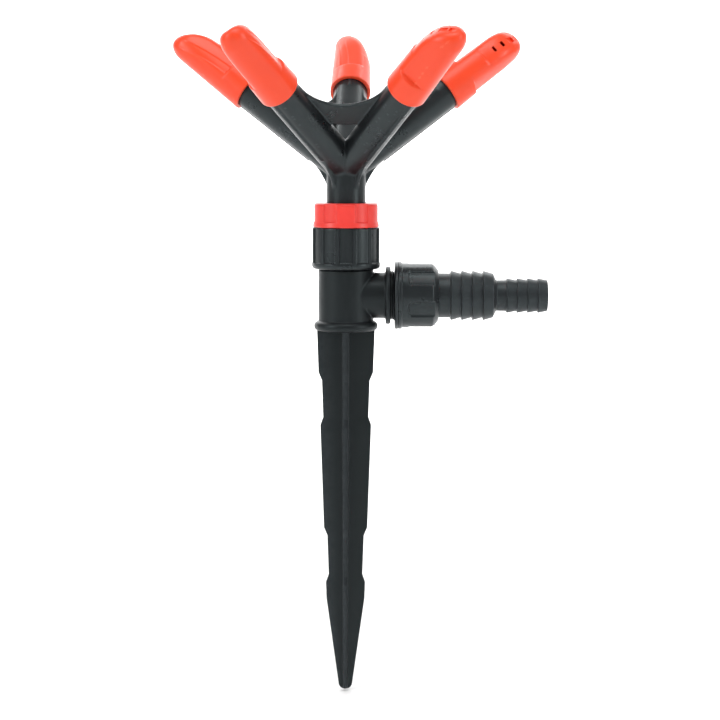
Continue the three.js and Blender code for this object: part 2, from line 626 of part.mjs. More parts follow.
// ---------- coupling nut and hose tail, turned about +Z and then laid along +X ----------
function makeCouplingNut() {
  const bore = BRANCH_THREAD_RADIUS + THREAD_GAP;
  const chamber = TAIL_COLLAR_RADIUS + THREAD_GAP;
  const lip = TAIL_NECK_RADIUS + NUT_LIP_GAP;
  const flangeEnd = nutStart + NUT_FLANGE_THICKNESS;
  const round = NUT_FLANGE_THICKNESS / 2;
  const rim = arcPoints(NUT_FLANGE_RADIUS - round, nutStart + round, round, -90, NUT_FLANGE_TURN, ARC_STEPS);
  let nut = ring([
    [bore, nutStart], ...rim, [NUT_RADIUS, flangeEnd], [NUT_RADIUS, nutEnd - NUT_CHAMFER_LENGTH],
    [NUT_RADIUS - NUT_CHAMFER_DEPTH, nutEnd], [lip, nutEnd], [lip, nutLipStart], [chamber, nutLipStart],
    [chamber, washerStart - OVERRUN], [bore, washerStart - OVERRUN],
  ]);
  const floor = NUT_RADIUS - NUT_PANEL_DEPTH;
  const half = NUT_PANEL_WIDTH / 2;
  for (let i = 0; i < NUT_PANELS; i++) {
    const foot = flangeEnd + NUT_PANEL_MARGIN;
    const panel = block(floor, NUT_RADIUS + OVERRUN, -half, half, foot, nutEnd + OVERRUN);
    panel.rotateZ(i * 2 * Math.PI / NUT_PANELS + NUT_PANEL_PLACE * DEG);
    nut = nut.subtract(solid(panel));
  }
  return nut;
}

function barbs(start, pitch, peak, root) {
  const points = [];
  for (let i = 0; i < BARB_COUNT; i++) {
    points.push([root, start + i * pitch], [peak, start + i * pitch + BARB_FACE]);
  }
  points.push([root, start + BARB_COUNT * pitch]);
  return points;
}

function makeHoseTail() {
  const neckStart = collarEnd;
  return ring([
    [TAIL_BORE, collarStart], [TAIL_COLLAR_RADIUS, collarStart], [TAIL_COLLAR_RADIUS, collarEnd],
    [TAIL_NECK_RADIUS, neckStart], [TAIL_NECK_RADIUS, largeStart],
    ...barbs(largeStart, LARGE_PITCH, LARGE_PEAK, LARGE_ROOT),
    [STEP_RADIUS, largeEnd + STEP_TAPER], [STEP_RADIUS, smallStart],
    ...barbs(smallStart, SMALL_PITCH, SMALL_PEAK, SMALL_ROOT),
    [TAIL_BORE, tailEnd],
  ]);
}

function makeTailWasher() {
  return tube(TAIL_BORE, BRANCH_THREAD_RADIUS, washerStart, washerStart + TAIL_WASHER_THICKNESS, ROUND_SMALL);
}

// ---------- assembly ----------
function named(name, manifold, material) {
  const mesh = new THREE.Mesh(geometryOf(manifold), material);
  mesh.name = name;
  return mesh;
}

const sprinkler = new THREE.Group();
sprinkler.add(named('spike_tee', makeSpikeTee(), mattBlack));
sprinkler.add(named('base_gasket', tube(BORE_RADIUS, BASE_THREAD_RADIUS, gasketBottom,
  gasketBottom + GASKET_THICKNESS, ROUND_SMALL), rubber));
sprinkler.add(named('swivel_base', makeSwivelBase(), glossBlack));
sprinkler.add(named('rotor_seal', tube(STEM_RADIUS - SEAL_WIDTH, STEM_RADIUS, sealBottom,
  sealBottom + SEAL_THICKNESS, ROUND_SMALL), rubber));
sprinkler.add(named('thrust_washer', tube(cupRadius, rotorFlangeRadius, thrustBottom, thrustTop), acetal));
sprinkler.add(named('retaining_cap', makeRetainingCap(), red));
sprinkler.add(named('rotor', makeRotor(), glossBlack));

const nozzle = makeNozzle();
const nozzleRing = makeNozzleRing();
for (let i = 0; i < ARM_COUNT; i++) {
  const arm = new THREE.Group();
  arm.applyMatrix4(armPlace(i));
  const rim = new THREE.Group();
  rim.position.set(0, 0, ARM_TO_RIM);
  const part = named(`nozzle_${i + 1}`, nozzle, orange);
  part.rotation.z = -(90 + NOZZLE_ROLLS[i]) * DEG;
  rim.add(part, named(`nozzle_o_ring_${i + 1}`, nozzleRing, rubber));
  arm.add(rim);
  sprinkler.add(arm);
}

const branchGroup = new THREE.Group();
branchGroup.position.set(0, 0, BRANCH_HEIGHT);
branchGroup.rotation.y = Math.PI / 2;
branchGroup.add(named('coupling_nut', makeCouplingNut(), glossBlack));
branchGroup.add(named('tail_washer', makeTailWasher(), rubber));
branchGroup.add(named('hose_tail', makeHoseTail(), glossBlack));
sprinkler.add(branchGroup);

export default sprinkler;
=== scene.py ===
"""Looks for the five-arm lawn sprinkler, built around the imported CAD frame.

Shapes are worked out in millimetres in the frame's own axes and turned into metres when each mesh is made.
"""
import json
import math

import bpy
import numpy as np
import openvdb
from mathutils import Matrix, Vector


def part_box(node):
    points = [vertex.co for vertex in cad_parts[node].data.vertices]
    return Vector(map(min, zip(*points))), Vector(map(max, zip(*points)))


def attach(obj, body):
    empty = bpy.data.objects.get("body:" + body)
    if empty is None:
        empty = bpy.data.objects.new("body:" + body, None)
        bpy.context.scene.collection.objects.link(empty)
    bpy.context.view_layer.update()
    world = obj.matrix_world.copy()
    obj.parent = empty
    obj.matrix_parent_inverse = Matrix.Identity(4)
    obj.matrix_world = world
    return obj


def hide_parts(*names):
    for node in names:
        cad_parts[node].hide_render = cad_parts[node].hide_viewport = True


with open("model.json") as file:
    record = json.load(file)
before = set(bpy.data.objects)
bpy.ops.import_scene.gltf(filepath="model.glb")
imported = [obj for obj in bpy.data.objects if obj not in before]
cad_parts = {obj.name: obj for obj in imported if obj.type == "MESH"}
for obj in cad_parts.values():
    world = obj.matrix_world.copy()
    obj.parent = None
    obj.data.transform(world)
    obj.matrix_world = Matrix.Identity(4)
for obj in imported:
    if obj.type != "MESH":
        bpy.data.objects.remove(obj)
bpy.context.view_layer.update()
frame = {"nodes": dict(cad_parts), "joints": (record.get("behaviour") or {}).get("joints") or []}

MM = 0.001
TAU = 2 * math.pi

# ---------- places and sizes taken from the frame, in millimetres ----------
joints = {joint["name"]: joint for joint in frame["joints"]}


def cad_low(node):
    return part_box(node)[0] / MM


def cad_high(node):
    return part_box(node)[1] / MM


nozzle_joints = [joint for name, joint in sorted(joints.items()) if name.startswith("nozzle_")]
ARM_COUNT = len(nozzle_joints)
arm_directions = [Vector(joint["axis"]).normalized() for joint in nozzle_joints]
rim_points = [Vector(joint["pos_m"]) / MM for joint in nozzle_joints]
arm_length = math.hypot(rim_points[0].x, rim_points[0].y) / math.hypot(*arm_directions[0][:2])
APEX = rim_points[0].z - arm_length * arm_directions[0].z          # height where the arm axes meet
BRANCH_HEIGHT = joints["nut_turn"]["pos_m"][2] / MM
rotor_foot = cad_low("rotor").z
base_bottom = cad_low("swivel_base").z
neck_top = cad_high("swivel_base").z
cap_bottom = cad_low("retaining_cap").z
cap_top = cad_high("retaining_cap").z
nut_start = cad_low("coupling_nut").x
nut_end = cad_high("coupling_nut").x
branch_end = cad_high("spike_tee").x
spike_tip = cad_low("spike_tee").z
tail_start = cad_low("hose_tail").x
tail_end = cad_high("hose_tail").x
branch_place = Matrix.Translation((0, 0, BRANCH_HEIGHT)) @ Matrix.Rotation(math.pi / 2, 4, "Y")


# ---------- mesh making ----------
def make_object(name, points, faces, place=None, smooth_angle=35):
    """A mesh object from millimetre points; place is a millimetre matrix applied first."""
    mesh = bpy.data.meshes.new(name)
    points = np.asarray(points, float)
    if place is not None:
        turned = np.array(place, float)
        points = points @ turned[:3, :3].T + turned[:3, 3]
    mesh.from_pydata((points * MM).tolist(), [], [tuple(int(i) for i in face) for face in faces])
    mesh.update()
    mesh.validate()
    if signed_volume(mesh) < 0:
        mesh.flip_normals()
    mesh.shade_smooth()
    mesh.set_sharp_from_angle(angle=math.radians(smooth_angle))
    thing = bpy.data.objects.new(name, mesh)
    bpy.context.scene.collection.objects.link(thing)
    return thing


def signed_volume(mesh):
    mesh.calc_loop_triangles()
    corners = np.array([v.co for v in mesh.vertices], float)
    index = np.array([t.vertices for t in mesh.loop_triangles], int)
    a, b, c = (corners[index[:, i]] for i in range(3))
    return float(np.einsum("ij,ij->i", a, np.cross(b, c)).sum()) / 6


def dress(thing, body, node, material):
    """Gives a piece its body, the CAD node it stands for and its material."""
    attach(thing, body)
    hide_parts(node)
    thing.data.materials.clear()
    thing.data.materials.append(material)
    return thing


def rounded(corners, steps=4):
    """A closed outline from (x, y, fillet) corners, with each fillet drawn as an arc."""
    points = []
    for i, (x, y, fillet) in enumerate(corners):
        here = Vector((x, y))
        before = Vector(corners[i - 1][:2]) - here
        after = Vector(corners[(i + 1) % len(corners)][:2]) - here
        half = before.angle(after) / 2
        reach = min(fillet / math.tan(half), 0.49 * before.length, 0.49 * after.length) if fillet else 0
        if reach <= 0 or half > math.radians(89):
            points.append((x, y))
            continue
        radius = reach * math.tan(half)
        centre = here + (before.normalized() + after.normalized()).normalized() * radius / math.sin(half)
        start = here + before.normalized() * reach - centre
        end = here + after.normalized() * reach - centre
        first = math.atan2(start.y, start.x)
        sweep = (math.atan2(end.y, end.x) - first + math.pi) % TAU - math.pi
        for k in range(steps + 1):
            angle = first + sweep * k / steps
            points.append((centre.x + radius * math.cos(angle), centre.y + radius * math.sin(angle)))
    return points


def finer(outline, step):
    """The same closed outline with no side longer than step."""
    points = []
    for i, (x, y) in enumerate(outline):
        nx, ny = outline[(i + 1) % len(outline)]
        parts = max(1, math.ceil(math.hypot(nx - x, ny - y) / step))
        points += [(x + (nx - x) * k / parts, y + (ny - y) * k / parts) for k in range(parts)]
    return points


def grid_faces(rows, sides, closed_rows):
    """Quads joining rows of points that go round; closed_rows joins the last row to the first."""
    faces = []
    for i in range(rows if closed_rows else rows - 1):
        below, above = i * sides, (i + 1) % rows * sides
        for j in range(sides):
            k = (j + 1) % sides
            faces.append((below + j, below + k, above + k, above + j))
    return faces


def turned_ring(name, outline, sides, shape=None, place=None, smooth_angle=35):
    """Turns a closed [radius, height] outline about Z. shape(radius, height, angle) may change the radius."""
    profile = np.array(outline, float)
    radius, height = profile[:, :1], profile[:, 1:]
    angle = np.linspace(0, TAU, sides, endpoint=False)[None, :]
    radius = np.broadcast_to(radius, (len(profile), sides))
    if shape is not None:
        radius = shape(radius, np.broadcast_to(height, radius.shape), angle)
    heights = np.broadcast_to(height, radius.shape)
    points = np.stack([radius * np.cos(angle), radius * np.sin(angle), heights], -1)
    faces = grid_faces(len(profile), sides, True)
    return make_object(name, points.reshape(-1, 3), faces, place, smooth_angle)


def smoothstep(value, low, high):
    part = np.clip((value - low) / (high - low), 0, 1)
    return part * part * (3 - 2 * part)


def join(a, b, blend):
    """Union of two distance fields, with a fillet of about blend where they meet."""
    part = np.clip(0.5 + 0.5 * (b - a) / blend, 0, 1)
    return b + (a - b) * part - blend * part * (1 - part)


def meet(a, b, blend):
    """Intersection of two distance fields, with a rounded edge of about blend."""
    return -join(-a, -b, blend)


def surface_of(name, field, low, high, voxel, smooth_angle=60):
    """Meshes the surface where field(x, y, z) is zero; the field is negative inside."""
    axes = [np.arange(low[i] - 2 * voxel, high[i] + 3 * voxel, voxel) for i in range(3)]
    band = 3 * voxel
    values = np.empty([len(axis) for axis in axes], np.float32)
    slab = 24
    for start in range(0, len(axes[0]), slab):
        x, y, z = np.meshgrid(axes[0][start:start + slab], axes[1], axes[2], indexing="ij", sparse=True)
        values[start:start + slab] = np.clip(field(x, y, z), -band, band)
    grid = openvdb.FloatGrid(band)
    grid.copyFromArray(values)
    points, quads = grid.convertToQuads(isovalue=0.0)
    points = points.astype(float) * voxel + np.array([axis[0] for axis in axes])
    return make_object(name, points, quads, smooth_angle=smooth_angle)


RING_SIDES = 288
OUTLINE_STEP = 0.3
THREAD_SIDES = 96
THREAD_STEPS = 12                # points along one turn's pitch
TAIL_SIDES = 160
TAIL_STEP = 0.6
CRISP = 0.1                      # fillets on the outlines of the turned pieces
FINE = 0.2
SOFT = 0.3
EASED = 0.35

# ---------- rotor: stem, arms, webs and gussets as one moulding ----------
STEM_RADIUS = 8.1
STEM_BORE = 5.6
FLANGE_RADIUS = 11.3
FLANGE_THICKNESS = 1.7
ARM_RADIUS = 7.15
ARM_BORE = 4.6
ARM_INSERT = 9.0
GROOVE_START = 4.7               # O-ring groove, measured from the nozzle's rim
GROOVE_WIDTH = 1.8
GROOVE_DEPTH = 1.5
WEB_THICKNESS = 1.8
WEB_LIFT = 1.2
WEB_FOOT = 25.5
WEB_RIM_GAP = 3.85               # the hollow edge runs into each arm this far short of the rim
GUSSET_THICKNESS = 1.5
GUSSET_FOOT = (8.1, -8.0)        # radius and height from the apex
GUSSET_HEAD = (14.7, 2.2)
GUSSET_CURVE = 36.0              # radius of its hollow outer edge
RIDGE_HEIGHT = 0.5
INDEX_RIB = (4.5, 1.0, 0.7)      # length, width, height
ROTOR_FILLET = 0.7
SMALL_FILLET = 0.3
PLATE_ROUND = 0.4                # edges of the webs, gussets and flange
RIB_FILLET = 0.35
RIM_CLEARANCE = 0.3              # the ridge and the index rib stop this far short of the rim
FLANGE_CLEARANCE = 0.3           # the flange runs this far above the neck
rotor_flange_bottom = neck_top + FLANGE_CLEARANCE
ROTOR_VOXEL = 0.4


def arm_field(x, y, z, direction):
    """One arm with its ridge, index rib and O-ring groove."""
    along = x * direction.x + y * direction.y + (z - APEX) * direction.z
    level = math.hypot(direction.x, direction.y)
    side = (-x * direction.y + y * direction.x) / level
    up = (z - APEX) * level - (x * direction.x + y * direction.y) / level * direction.z
    across = np.sqrt(side ** 2 + up ** 2)
    tube = across - ARM_RADIUS
    groove = GROOVE_START + arm_length
    in_groove = np.maximum(groove - along, along - groove - GROOVE_WIDTH)
    tube = np.maximum(tube, np.minimum(-in_groove, tube + GROOVE_DEPTH))
    tube = np.maximum(tube, np.maximum(-along, along - arm_length - ARM_INSERT))
    ridge = np.maximum(np.abs(side) - GUSSET_THICKNESS / 2, np.abs(up + ARM_RADIUS) - RIDGE_HEIGHT)
    ridge = np.maximum(ridge, np.maximum(GUSSET_HEAD[0] - along, along - arm_length + RIM_CLEARANCE))
    tube = join(tube, ridge, SMALL_FILLET)
    length, width, height = INDEX_RIB
    rib = np.maximum(np.abs(side) - width / 2, np.abs(up - ARM_RADIUS) - height)
    rib = np.maximum(rib, np.abs(along - arm_length + RIM_CLEARANCE + length / 2) - length / 2)
    return join(tube, rib, RIB_FILLET)


def web_field(x, y, z, first, second):
    """The web between two neighbouring arms, with its hollow upper edge."""
    along = (first + second).normalized()
    across = (second - first).normalized()
    out = along.cross(across)
    if out.z < 0:
        out = -out
    half = first.angle(second) / 2
    p = x * along.x + y * along.y + (z - APEX) * along.z
    q = x * across.x + y * across.y + (z - APEX) * across.z
    n = x * out.x + y * out.y + (z - APEX) * out.z
    reach = arm_length - WEB_RIM_GAP
    centre = reach / math.cos(half)
    hollow = centre * math.sin(half) - ARM_RADIUS
    edge = np.maximum(hollow - np.sqrt((p - centre) ** 2 + q ** 2), WEB_FOOT - p)
    edge = np.maximum(edge, np.abs(q) * math.cos(half) - p * math.sin(half))
    edge = np.maximum(edge, p * math.cos(half) + np.abs(q) * math.sin(half) - reach)
    return meet(np.abs(n - WEB_LIFT) - WEB_THICKNESS / 2, edge, PLATE_ROUND)


def gusset_field(x, y, z, direction):
    """The upright gusset under an arm, with a hollow curved edge down to the stem."""
    level = math.hypot(direction.x, direction.y)
    out = (x * direction.x + y * direction.y) / level
    side = (-x * direction.y + y * direction.x) / level
    foot, head = Vector(GUSSET_FOOT), Vector(GUSSET_HEAD)
    chord = head - foot
    normal = Vector((chord.y, -chord.x)).normalized()
    middle = (foot + head) / 2 + normal * math.sqrt(GUSSET_CURVE ** 2 - (chord.length / 2) ** 2)
    curve = GUSSET_CURVE - np.sqrt((out - middle.x) ** 2 + (z - APEX - middle.y) ** 2)
    rise = direction.z / level
    bounds = np.maximum(GUSSET_FOOT[1] - (z - APEX), (z - APEX) - out * rise)
    plate = np.maximum(np.maximum(curve, bounds), np.maximum(-out, out - GUSSET_HEAD[0]))
    return meet(np.abs(side) - GUSSET_THICKNESS / 2, plate, PLATE_ROUND)


def rotor_field(x, y, z):
    from_axis = np.sqrt(x ** 2 + y ** 2)
    body = np.maximum(from_axis - STEM_RADIUS, np.maximum(rotor_foot - z, z - APEX))
    arms = None
    for direction in arm_directions:
        arm = arm_field(x, y, z, direction)
        arms = arm if arms is None else join(arms, arm, SMALL_FILLET)
    body = join(body, arms, ROTOR_FILLET)
    for i, direction in enumerate(arm_directions):
        body = join(body, web_field(x, y, z, direction, arm_directions[(i + 1) % ARM_COUNT]), ROTOR_FILLET)
        body = join(body, gusset_field(x, y, z, direction), ROTOR_FILLET)
    flange_middle = rotor_flange_bottom + FLANGE_THICKNESS / 2
    from_flange = np.abs(z - flange_middle) - FLANGE_THICKNESS / 2
    flange = meet(from_axis - FLANGE_RADIUS, from_flange, PLATE_ROUND)
    body = join(body, flange, SMALL_FILLET)
    holes = np.maximum(from_axis - STEM_BORE, z - APEX)
    for direction in arm_directions:
        along = x * direction.x + y * direction.y + (z - APEX) * direction.z
        distance = np.sqrt(np.maximum(x ** 2 + y ** 2 + (z - APEX) ** 2 - along ** 2, 0))
        holes = np.minimum(holes, np.maximum(distance - ARM_BORE, -along))
    return np.maximum(body, -holes)


def make_rotor(material):
    low, high = cad_low("rotor"), cad_high("rotor")
    rotor = surface_of("rotor_moulding", rotor_field, low, high, ROTOR_VOXEL)
    return dress(rotor, "rotor", "rotor", material)


# ---------- nozzles: +Z runs along the arm from the rim, +X faces the slotted front ----------
NOZZLE_ROLLS = [15, 60, 49, 50, 25]
NOZZLE_LENGTH = 39.5
NOZZLE_RADIUS = 8.7
NOZZLE_BORE = 7.4
NOZZLE_WALL = 1.3
NOZZLE_DRAFT = 0.028
SLEEVE_LENGTH = 10.0
SLEEVE_STEP = 1.6
FLAT_DISTANCES = (6.6, 7.3)      # on the +Y side and on the -Y side, which has the strip
FLAT_TILT = 8
STRIP_WIDTH = 3.7                # recessed strip along the side flat on -Y
STRIP_DEPTH = 0.22
STRIP_PLACE = -1.0
STRIP_END = 35.5
STRIP_LEAD = 0.5
STRIP_FADE = 2
STRIP_WALL = (-0.3, 0.1)         # where its side walls start and end, from its edge
STRIP_FOLLOW = 0.8               # share of the section's drift that the strip follows
BEVEL_START = 20
BEVEL_RADIUS = 28
TIP_ROUND = 6.5
TIP_DROP = 3.6
EDGE_SHARPNESS = 10
TIP_SHARPNESS = 4                # the edges between the sides soften towards the tip
SOFTENING_START = 2.2            # in tip roundings from the end
FLAT_OUT_OF_REACH = NOZZLE_RADIUS * 1.5
NEVER = 1e3                      # a side that this direction never meets
GRAZING = 1e-3
SLOT_FIRST = 26.6
SLOT_PITCH = 4.6
SLOT_COUNT = 4
SLOT_LENGTH = 2.6
SLOT_WIDTH = 1.1
SLOT_FILLET = 0.35
SLOT_CUT_DEPTH = 2.2             # in walls
SLOT_CUT_RISE = 1.0
SLOT_SEARCH_STEP = 0.05
NOZZLE_SIDES = 160
RIM_ROWS = (0, 0.12, 0.35)
RIM_EDGE = 0.3
RIM_PULLS = (1, 0.3, 0)          # share of the rim's edge that each of its rows is pulled in by
SLEEVE_ROW_GAP = 0.9
SHOULDER_ROWS = 9
FILLET_ROW_GAP = 0.15
BODY_ROWS = 36
TIP_ROWS = 14
CHAMBER_ROWS = 14
CHAMBER_STEPS = (0.29, 0.6, 1.5)  # past the arm's end: end of the bore, then start of the chamber
CHAMBER_END = 0.8
INNER_WALL = NOZZLE_WALL * 1.15
INSERT_GAP = 0.3
SMALLEST_RADIUS = 0.05


def section_centre(along):
    part = max(0, along - SLEEVE_LENGTH) / (NOZZLE_LENGTH - TIP_ROUND - SLEEVE_LENGTH)
    return -TIP_DROP * min(1, part * part)


def tip_scale(along):
    past = max(0, along - (NOZZLE_LENGTH - TIP_ROUND)) / TIP_ROUND
    return math.sqrt(max(0, 1 - past * past))


def section_radius(along, angle):
    """Outside of a nozzle, from its section's centre, at angles from the slotted front."""
    centre = section_centre(along)
    radius = NOZZLE_RADIUS - NOZZLE_DRAFT * along
    tilt = math.radians(FLAT_TILT)
    limits = [-centre * np.cos(angle) + np.sqrt(radius ** 2 - (centre * np.sin(angle)) ** 2)]
    past_sleeve = smoothstep(along, SLEEVE_LENGTH - SLEEVE_STEP / 2, SLEEVE_LENGTH + SLEEVE_STEP / 2)
    for side, distance in zip((1, -1), FLAT_DISTANCES):
        flat = FLAT_OUT_OF_REACH + (distance - FLAT_OUT_OF_REACH) * past_sleeve
        facing = np.cos(angle - side * (math.pi / 2 - tilt))
        reach = (flat - centre * math.sin(tilt)) / np.maximum(facing, GRAZING)
        limits.append(np.where(facing > GRAZING, reach, NEVER))
    bevel = max(0, along - BEVEL_START) ** 2 / (2 * BEVEL_RADIUS)
    if bevel > 0:
        front = (radius - bevel - centre) / np.maximum(np.cos(angle), GRAZING)
        limits.append(np.where(np.cos(angle) > GRAZING, front, NEVER))
    softening = NOZZLE_LENGTH - SOFTENING_START * TIP_ROUND
    softened = smoothstep(along, softening, NOZZLE_LENGTH - TIP_ROUND / 2)
    power = EDGE_SHARPNESS + (TIP_SHARPNESS - EDGE_SHARPNESS) * softened
    total = sum(limit ** -power for limit in limits)
    outside = total ** (-1 / power)
    strip_middle = centre + outside * np.cos(angle) - STRIP_PLACE - centre * STRIP_FOLLOW
    from_strip = np.abs(strip_middle) - STRIP_WIDTH / 2
    strip_start = SLEEVE_LENGTH + SLEEVE_STEP / 2
    started = smoothstep(along, strip_start, strip_start + STRIP_LEAD)
    ended = smoothstep(along, STRIP_END - STRIP_FADE, STRIP_END)
    strip = (1 - smoothstep(from_strip, *STRIP_WALL)) * started * (1 - ended) * (np.sin(angle) < 0)
    return (outside - STRIP_DEPTH * strip) * tip_scale(along)


def nozzle_rows(rows, inset):
    """Rings of points up the nozzle; inset moves them in by a wall."""
    angle = np.linspace(0, TAU, NOZZLE_SIDES, endpoint=False)
    points = []
    for along in rows:
        radius = np.maximum(section_radius(along, angle) - inset, SMALLEST_RADIUS)
        if inset and along <= ARM_INSERT + INSERT_GAP:
            radius = np.full_like(angle, NOZZLE_BORE)
        centre = section_centre(along)
        x = centre + radius * np.cos(angle)
        y = radius * np.sin(angle)
        points.append(np.stack([x, y, np.full_like(angle, along)], -1))
    return points


def slot_places():
    """Where the slots cut the front, evenly spaced along its outline: (along, height, slope)."""
    places = []
    travelled = 0.0
    wanted = SLOT_FIRST
    step = SLOT_SEARCH_STEP
    along = 0.0
    while along < NOZZLE_LENGTH - step and len(places) < SLOT_COUNT:
        here = section_centre(along) + float(section_radius(along, np.zeros(1))[0])
        there = section_centre(along + step) + float(section_radius(along + step, np.zeros(1))[0])
        travelled += math.hypot(step, there - here)
        if travelled >= wanted:
            places.append((along, here, math.atan2(there - here, step)))
            wanted += SLOT_PITCH
        along += step
    return places


def cut_away(thing, tools):
    """Cuts the tools out of thing and deletes them."""
    for tool in tools:
        cutter = thing.modifiers.new("cut", "BOOLEAN")
        cutter.operation = "DIFFERENCE"
        cutter.solver = "EXACT"
        cutter.object = tool
    graph = bpy.context.evaluated_depsgraph_get()
    result = bpy.data.meshes.new_from_object(thing.evaluated_get(graph))
    thing.modifiers.clear()
    thing.data = result
    for tool in tools:
        bpy.data.objects.remove(tool)
    return thing


def rounded_slot_tool(along, height, slope):
    """A bar with rounded corners that cuts one slot across the front."""
    half, width = SLOT_LENGTH / 2, SLOT_WIDTH / 2
    corners = [(-half, -width), (half, -width), (half, width), (-half, width)]
    outline = rounded([(x, y, SLOT_FILLET) for x, y in corners])
    sides = len(outline)
    points = [(x, across, z) for x in (-SLOT_CUT_DEPTH * NOZZLE_WALL, SLOT_CUT_RISE) for across, z in outline]
    faces = grid_faces(2, sides, False) + [tuple(range(sides))[::-1], tuple(range(sides, 2 * sides))]
    place = Matrix.Translation((height, 0, along)) @ Matrix.Rotation(-slope, 4, "Y")
    return make_object("slot_tool", points, faces, place)


def nozzle_mesh():
    """One hollow nozzle with its slots, shared by all the arms."""
    dome = NOZZLE_LENGTH - TIP_ROUND
    shoulder = SLEEVE_LENGTH - SLEEVE_STEP / 2
    shoulder_end = SLEEVE_LENGTH + SLEEVE_STEP / 2
    rows = list(RIM_ROWS)
    rows += list(np.arange(1.0, shoulder, SLEEVE_ROW_GAP))
    rows += list(np.linspace(shoulder, shoulder_end, SHOULDER_ROWS))
    rows += list(shoulder_end + np.arange(1, 5) * FILLET_ROW_GAP)
    rows += list(np.linspace(shoulder_end + SLEEVE_ROW_GAP, dome, BODY_ROWS))
    rows += [dome + TIP_ROUND * math.sin(k / TIP_ROWS * math.pi / 2) for k in range(1, TIP_ROWS)]
    outside = nozzle_rows(rows, 0)
    for row, share in enumerate(RIM_PULLS):
        flat = outside[row][:, :2]
        radius = np.linalg.norm(flat, axis=1, keepdims=True)
        outside[row][:, :2] = flat * (radius - RIM_EDGE * share) / radius
    bore_end, step_end, chamber_start = (ARM_INSERT + past for past in CHAMBER_STEPS)
    inner = [0, bore_end, step_end]
    inner += list(np.linspace(chamber_start, dome - CHAMBER_END, CHAMBER_ROWS))
    inside = nozzle_rows(inner, INNER_WALL)
    points = np.concatenate([*reversed(inside), *outside])
    count = len(inside) + len(outside)
    faces = grid_faces(count, NOZZLE_SIDES, False)
    last = (count - 1) * NOZZLE_SIDES
    inner_end = len(points)
    chamber_tip = (section_centre(dome - CHAMBER_END), 0, inner[-1])
    outer_tip = (section_centre(NOZZLE_LENGTH), 0, NOZZLE_LENGTH)
    points = np.concatenate([points, np.array([chamber_tip, outer_tip])])
    for j in range(NOZZLE_SIDES):
        k = (j + 1) % NOZZLE_SIDES
        faces.append((k, j, inner_end))
        faces.append((last + j, last + k, inner_end + 1))
    shell = make_object("nozzle_shell", points, faces)
    cut_away(shell, [rounded_slot_tool(*place) for place in slot_places()])
    shell.data.shade_smooth()
    shell.data.set_sharp_from_angle(angle=math.radians(40))
    mesh = shell.data
    bpy.data.objects.remove(shell)
    return mesh


def make_nozzles(material):
    shared = nozzle_mesh()
    for i in range(ARM_COUNT):
        axis = arm_directions[i]
        sideways = Vector((0, 0, 1)).cross(axis).normalized()
        upward = axis.cross(sideways)
        roll = math.radians(NOZZLE_ROLLS[i])
        front = upward * math.sin(roll) - sideways * math.cos(roll)
        turn = Matrix((front, axis.cross(front), axis)).transposed().to_4x4()
        nozzle = bpy.data.objects.new(f"nozzle_shell_{i + 1}", shared.copy())
        bpy.context.scene.collection.objects.link(nozzle)
        nozzle.data.transform(Matrix.Translation(rim_points[i] * MM) @ turn)
        dress(nozzle, f"nozzle_{i + 1}", f"nozzle_{i + 1}", material)


# ---------- tee body: bead ring, side branch and bores ----------
BODY_RADIUS = 11.4
BODY_TOP = 25.4
BORE_RADIUS = 7.0
BORE_FLOOR = 5.6
BEAD_RADIUS = 13.25
BEAD_HEIGHT = 4.1
BRANCH_RADIUS = 9.5
BRANCH_FLANGE_X = 16.4
BRANCH_FLANGE_THICKNESS = 2.1
BRANCH_FLANGE_RADIUS = 12.0
THREAD_RADIUS = 10.0             # at the thread's pitch line
PIPE_PITCH = 1.814
THREAD_HEIGHT = 0.3
TOP_THREAD_RADIUS = 10.2
TOP_THREAD_LENGTH = 8.4
THREAD_STEEPNESS = 3.2
THREAD_GAP = 0.1                 # between the flange and the branch thread
THREAD_RAISE = 0.05              # how far the branch thread's core is raised off the branch
THREAD_LEAD = 1
THREAD_FADE = (1.2, 0.2)         # before the branch's end
BODY_LIFT = 0.6
BODY_EDGE = 0.4
BRANCH_FILLET = 0.35
BEAD_FILLET = 0.3
BRANCH_FLANGE_ROUND = 0.9
BRANCH_END_GAP = 0.05
TEE_REACH = 14                   # sideways, past everything on the body
ON_SURFACE = 0.01                # how near a radius has to be to count as the same
TEE_VOXEL = 0.35


def tee_field(x, y, z):
    from_axis = np.sqrt(x ** 2 + y ** 2)
    from_branch = np.sqrt(y ** 2 + (z - BRANCH_HEIGHT) ** 2)
    body = meet(from_axis - BODY_RADIUS, np.maximum(BODY_LIFT - z, z - BODY_TOP), BODY_EDGE)
    core = np.maximum(from_axis - TOP_THREAD_RADIUS, np.maximum(-z, z - BODY_TOP - TOP_THREAD_LENGTH))
    body = np.minimum(body, core + 0 * z)
    branch = np.maximum(from_branch - BRANCH_RADIUS, np.maximum(-x, x - branch_end + BRANCH_END_GAP))
    body = join(body, branch, BRANCH_FILLET)
    half_bead = BEAD_HEIGHT / 2
    from_ring = from_axis - BEAD_RADIUS + half_bead
    bead = np.sqrt(from_ring ** 2 + (z - half_bead) ** 2) - half_bead
    bead = np.minimum(bead, np.maximum(from_ring, np.abs(z - half_bead) - half_bead))
    body = join(body, bead, BEAD_FILLET)
    flange_middle = BRANCH_FLANGE_X + BRANCH_FLANGE_THICKNESS / 2
    from_flange = np.abs(x - flange_middle) - BRANCH_FLANGE_THICKNESS / 2
    flange = meet(from_branch - BRANCH_FLANGE_RADIUS, from_flange, BRANCH_FLANGE_ROUND)
    body = join(body, flange, BODY_EDGE)
    riser_bore = np.maximum(from_axis - BORE_RADIUS, BORE_FLOOR - z)
    branch_bore = np.maximum(from_branch - BORE_RADIUS, -x)
    return np.maximum(body, -np.minimum(riser_bore, branch_bore))


